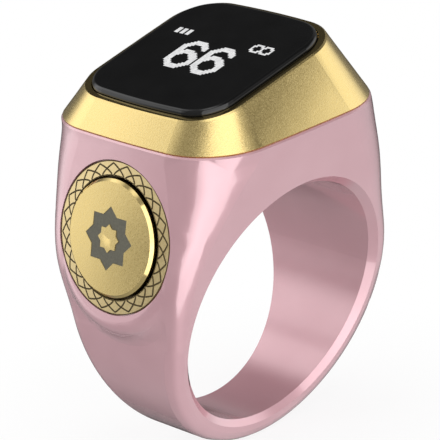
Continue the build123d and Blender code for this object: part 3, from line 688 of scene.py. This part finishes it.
pixel_tree, given, made = new_tree("display_pixels", [("Pixel Size", "NodeSocketFloat")])
pixel_spots = pixel_tree.nodes.new("GeometryNodeMeshToPoints")
square = pixel_tree.nodes.new("GeometryNodeMeshGrid")
square.inputs["Vertices X"].default_value = 2
square.inputs["Vertices Y"].default_value = 2
copies = pixel_tree.nodes.new("GeometryNodeInstanceOnPoints")
placed = pixel_tree.nodes.new("GeometryNodeTransform")
placed.inputs["Translation"].default_value = DISPLAY_AT
placed.inputs["Rotation"].default_value = (0.0, -DISPLAY_LEAN, 0.0)
solid = pixel_tree.nodes.new("GeometryNodeRealizeInstances")
coloured = pixel_tree.nodes.new("GeometryNodeSetMaterial")
coloured.inputs["Material"].default_value = lit_pixel
join(
    pixel_tree,
    (given.outputs["Geometry"], pixel_spots.inputs["Mesh"]),
    (given.outputs["Pixel Size"], square.inputs["Size X"]),
    (given.outputs["Pixel Size"], square.inputs["Size Y"]),
    (pixel_spots.outputs["Points"], copies.inputs["Points"]),
    (square.outputs["Mesh"], copies.inputs["Instance"]),
    (copies.outputs["Instances"], placed.inputs["Geometry"]),
    (placed.outputs["Geometry"], solid.inputs["Geometry"]),
    (solid.outputs["Geometry"], coloured.inputs["Geometry"]),
    (coloured.outputs["Geometry"], made.inputs["Geometry"]),
)
pixel_points = [
    (GRID_FOOT + (row + 0.5) * PIXEL, GRID_LEFT - (column + 0.5) * PIXEL, GLASS_TOP)
    for column, row in lit_pixels()
]
pixel_sizes = {"Pixel Size": PIXEL * PIXEL_FILL_SHARE}
pixels = run_tree("display_pixels", pixel_points, [], pixel_tree, pixel_sizes)
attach(pixels, "ring")

# Bezel: a machined aluminium frame, wedge-shaped so that the display leans towards the
# button. Bead-blasted and anodised gold, with its lip round the glass left as it was cut,
# and pressed into the head with its skirt.
DISPLAY_OUT = Vector((-math.sin(DISPLAY_LEAN), 0.0, math.cos(DISPLAY_LEAN)))
LIP_FACING = (0.97, 0.99)
blasted_bezel, tree, shader = new_finish("blasted_bezel")
lie = tree.nodes.new("ShaderNodeNewGeometry").outputs["True Normal"]
lip = spread(tree, vector_math(tree, "DOT_PRODUCT", lie, DISPLAY_OUT), 0.0, 1.0, *LIP_FACING)
gold = blast(tree, shader, lip, satin=(0.20, 0.30), bright=(0.10, 0.14))
tree.links.new(gold, shader.inputs["Base Color"])
dress(blasted_bezel, "bezel_frame")

# Stage: a small round white plinth under the ring, which keeps a faint shadow, in a room
# that is white all round.
PLINTH_Z = -11.92 * MM
PLINTH_R = 30.0 * MM
PLINTH_SIDES = 64
PLINTH_PAINT = (0.9, 0.9, 0.9, 1.0)
PLINTH_ROUGHNESS = 0.9
PLINTH_GLOW_SHARES = (0.86, 1.0)
PLINTH_GLOW_REACH = (0.5 * PLINTH_R, 0.95 * PLINTH_R)


def ray_kinds(tree):
    """1 for rays from the camera, and 1 for those that metal and glass send on."""
    path = tree.nodes.new("ShaderNodeLightPath")
    mirrored, let_through = path.outputs["Is Glossy Ray"], path.outputs["Is Transmission Ray"]
    return path.outputs["Is Camera Ray"], number_math(tree, "MAXIMUM", mirrored, let_through)


plinth_white, tree, shader = new_finish("plinth_white")
shader.inputs["Base Color"].default_value = PLINTH_PAINT
shader.inputs["Roughness"].default_value = PLINTH_ROUGHNESS
shader.inputs["Specular IOR Level"].default_value = 0.0
glow = tree.nodes.new("ShaderNodeEmission")
painted = tree.nodes.new("ShaderNodeMixShader")
reach = vector_math(tree, "LENGTH", object_place(tree))
white_share = spread(tree, reach, *PLINTH_GLOW_SHARES, *PLINTH_GLOW_REACH)
seen = number_math(tree, "MAXIMUM", *ray_kinds(tree))
join(
    tree,
    (number_math(tree, "MULTIPLY", white_share, seen), painted.inputs["Fac"]),
    (shader.outputs["BSDF"], painted.inputs[1]),
    (glow.outputs["Emission"], painted.inputs[2]),
    (painted.outputs["Shader"], tree.nodes["Material Output"].inputs["Surface"]),
)

plinth_mesh = bpy.data.meshes.new("plinth")
rim = [FULL_TURN * i / PLINTH_SIDES for i in range(PLINTH_SIDES)]
plinth_points = [(PLINTH_R * math.cos(t), PLINTH_R * math.sin(t), PLINTH_Z) for t in rim]
plinth_mesh.from_pydata(plinth_points, [], [tuple(range(PLINTH_SIDES))])
plinth_mesh.materials.append(plinth_white)
plinth = bpy.data.objects.new("plinth", plinth_mesh)
plinth.visible_glossy = False
bpy.context.scene.collection.objects.link(plinth)

# Studio light: the camera sees plain white all round. What the lacquer, metal and glass
# reflect is a studio: a white horizon, a tall soft box in front, and smaller soft boxes and
# dark flags. Large lamps that don't show in reflections fill in from three sides.
RING_MIDDLE = Vector((0.0, 0.0, 3.0 * MM))
HORIZON_LEVEL = 1.0
ROOM_LEVEL = 0.40
TABLE_LEVEL = 0.42
FILL_LEVEL = 0.62
HORIZON_TOP = (0.05, 0.25)
HORIZON_FOOT = (-0.42, -0.18)
# Each has its azimuth and elevation, the angles from there at which it starts to fade and
# is gone, all in degrees, and how bright it looks, white being 1.
STUDIO = (
    ("table_front", 25.0, -42.0, 28.0, 60.0, 0.64),
    ("table_behind", -152.0, -40.0, 16.0, 34.0, 0.32),
    ("flag_left", -92.0, 4.0, 36.0, 48.0, 0.28),
    ("flag_above_left", -106.0, 48.0, 10.0, 24.0, 0.32),
    ("box_behind", -166.0, 30.0, 9.0, 33.0, 1.72),
    ("box_low_left", -138.0, 18.0, 8.0, 21.0, 1.42),
    ("box_left_behind", -154.0, -4.0, 8.0, 23.0, 1.40),
    ("flag_left_high", -139.0, 42.0, 2.0, 9.0, 0.62),
    ("flag_behind", 136.0, 4.0, 38.0, 54.0, 0.20),
    ("flag_behind_high", 147.0, 38.0, 14.0, 28.0, 0.05),
    ("flag_far_side", 136.0, -20.0, 12.0, 26.0, 0.02),
    ("table_far", 160.0, -45.0, 8.0, 22.0, 0.16),
    ("box_overhead", -117.0, 83.0, 8.0, 17.0, 2.0),
    ("flag_above_right", 66.0, 58.0, 22.0, 40.0, 0.06),
    ("flag_front_right", 39.0, 22.0, 6.0, 18.0, 0.19),
    ("box_front_high", 22.0, 46.0, 4.0, 16.0, 0.62),
    ("box_right", 64.0, 8.0, 6.0, 32.0, 1.38),
    ("box_right_edge", 49.0, 8.0, 5.0, 13.0, 1.50),
)
FILL_LAMPS = (
    ("left_fill", -95.0, 25.0, 0.45),
    ("front_fill", 5.0, 20.0, 1.95),
    ("back_fill", -150.0, 35.0, 1.25),
)
LAMP_DISTANCE = 0.6
FILL_LAMP_SIDE = 0.6


def toward(azimuth, elevation):
    """Direction from the ring: azimuth 0 is its front face, -90 its button side."""
    a, e = math.radians(azimuth), math.radians(elevation)
    return Vector((math.sin(a) * math.cos(e), -math.cos(a) * math.cos(e), math.sin(e)))


world = bpy.data.worlds.new("white_studio")
bpy.context.scene.world = world
world.use_nodes = True
tree = world.node_tree
background = tree.nodes["Background"]
background.inputs["Color"].default_value = (1.0, 1.0, 1.0, 1.0)
looking = tree.nodes.new("ShaderNodeTexCoord").outputs["Generated"]
height = vector_math(tree, "DOT_PRODUCT", looking, (0.0, 0.0, 1.0))
above = spread(tree, height, HORIZON_LEVEL, ROOM_LEVEL, *HORIZON_TOP)
below = spread(tree, height, TABLE_LEVEL, HORIZON_LEVEL, *HORIZON_FOOT)
reflected = number_math(tree, "MINIMUM", above, below)
for name, azimuth, elevation, fades, gone, level in STUDIO:
    facing = vector_math(tree, "DOT_PRODUCT", looking, toward(azimuth, elevation))
    facing.node.name = name
    edge = (math.cos(math.radians(gone)), math.cos(math.radians(fades)))
    reflected = blend_values(tree, spread(tree, facing, 0.0, 1.0, *edge), reflected, level)
from_camera, sent_on = ray_kinds(tree)
room_light = blend_values(tree, sent_on, FILL_LEVEL, reflected)
tree.links.new(blend_values(tree, from_camera, room_light, 1.0), background.inputs["Strength"])


def soft_panel(name, azimuth, elevation, width, height, level, lean=0.0):
    """A soft light that faces the ring; level is how bright its surface looks, white being 1."""
    data = bpy.data.lights.new(name, "AREA")
    data.shape = "RECTANGLE"
    data.size, data.size_y = width, height
    data.energy = level * math.pi * width * height
    lamp = bpy.data.objects.new(name, data)
    out = toward(azimuth, elevation)
    lamp.location = RING_MIDDLE + LAMP_DISTANCE * out
    lamp.rotation_mode = "QUATERNION"
    leaning = Quaternion((0.0, 0.0, 1.0), math.radians(lean))
    lamp.rotation_quaternion = out.to_track_quat("Z", "Y") @ leaning
    lamp.visible_camera = False
    bpy.context.scene.collection.objects.link(lamp)
    return lamp


front_panel = soft_panel(
    "front_panel", azimuth=-29.0, elevation=11.0, width=0.90, height=1.60, level=1.54, lean=2.0
)
front_panel.visible_diffuse = False
for name, azimuth, elevation, level in FILL_LAMPS:
    fill_lamp = soft_panel(name, azimuth, elevation, FILL_LAMP_SIDE, FILL_LAMP_SIDE, level)
    fill_lamp.visible_glossy = False

# Camera: a long lens a little above the ring, turned to the corner between the button side
# and the front face. The turn, rise and roll are in degrees.
CAMERA_TURN = -44.195
CAMERA_RISE = 21.622
CAMERA_ROLL = -3.938
CAMERA_DISTANCE = 235.284 * MM
CAMERA_ASIDE = -0.821 * MM
CAMERA_LIFT = 5.136 * MM
CAMERA_LENS = 245.85
CAMERA_SENSOR = 36.0
CAMERA_NEAR = 10.0 * MM
CAMERA_FAR = 10000.0 * MM
back = toward(CAMERA_TURN, CAMERA_RISE)
turn, roll = math.radians(CAMERA_TURN), math.radians(CAMERA_ROLL)
level_right = Vector((math.cos(turn), math.sin(turn), 0.0))
level_up = back.cross(level_right)
right = math.cos(roll) * level_right + math.sin(roll) * level_up
up = math.cos(roll) * level_up - math.sin(roll) * level_right
camera_data = bpy.data.cameras.new("camera")
camera_data.lens = CAMERA_LENS
camera_data.sensor_width = CAMERA_SENSOR
camera_data.clip_start = CAMERA_NEAR
camera_data.clip_end = CAMERA_FAR
camera = bpy.data.objects.new("camera", camera_data)
turned = Matrix((right, up, back)).transposed().to_4x4()
stand = CAMERA_DISTANCE * back + CAMERA_ASIDE * right + CAMERA_LIFT * up
camera.matrix_world = Matrix.Translation(stand) @ turned
bpy.context.scene.collection.objects.link(camera)
bpy.context.scene.camera = camera
bpy.context.scene.view_settings.view_transform = "Standard"
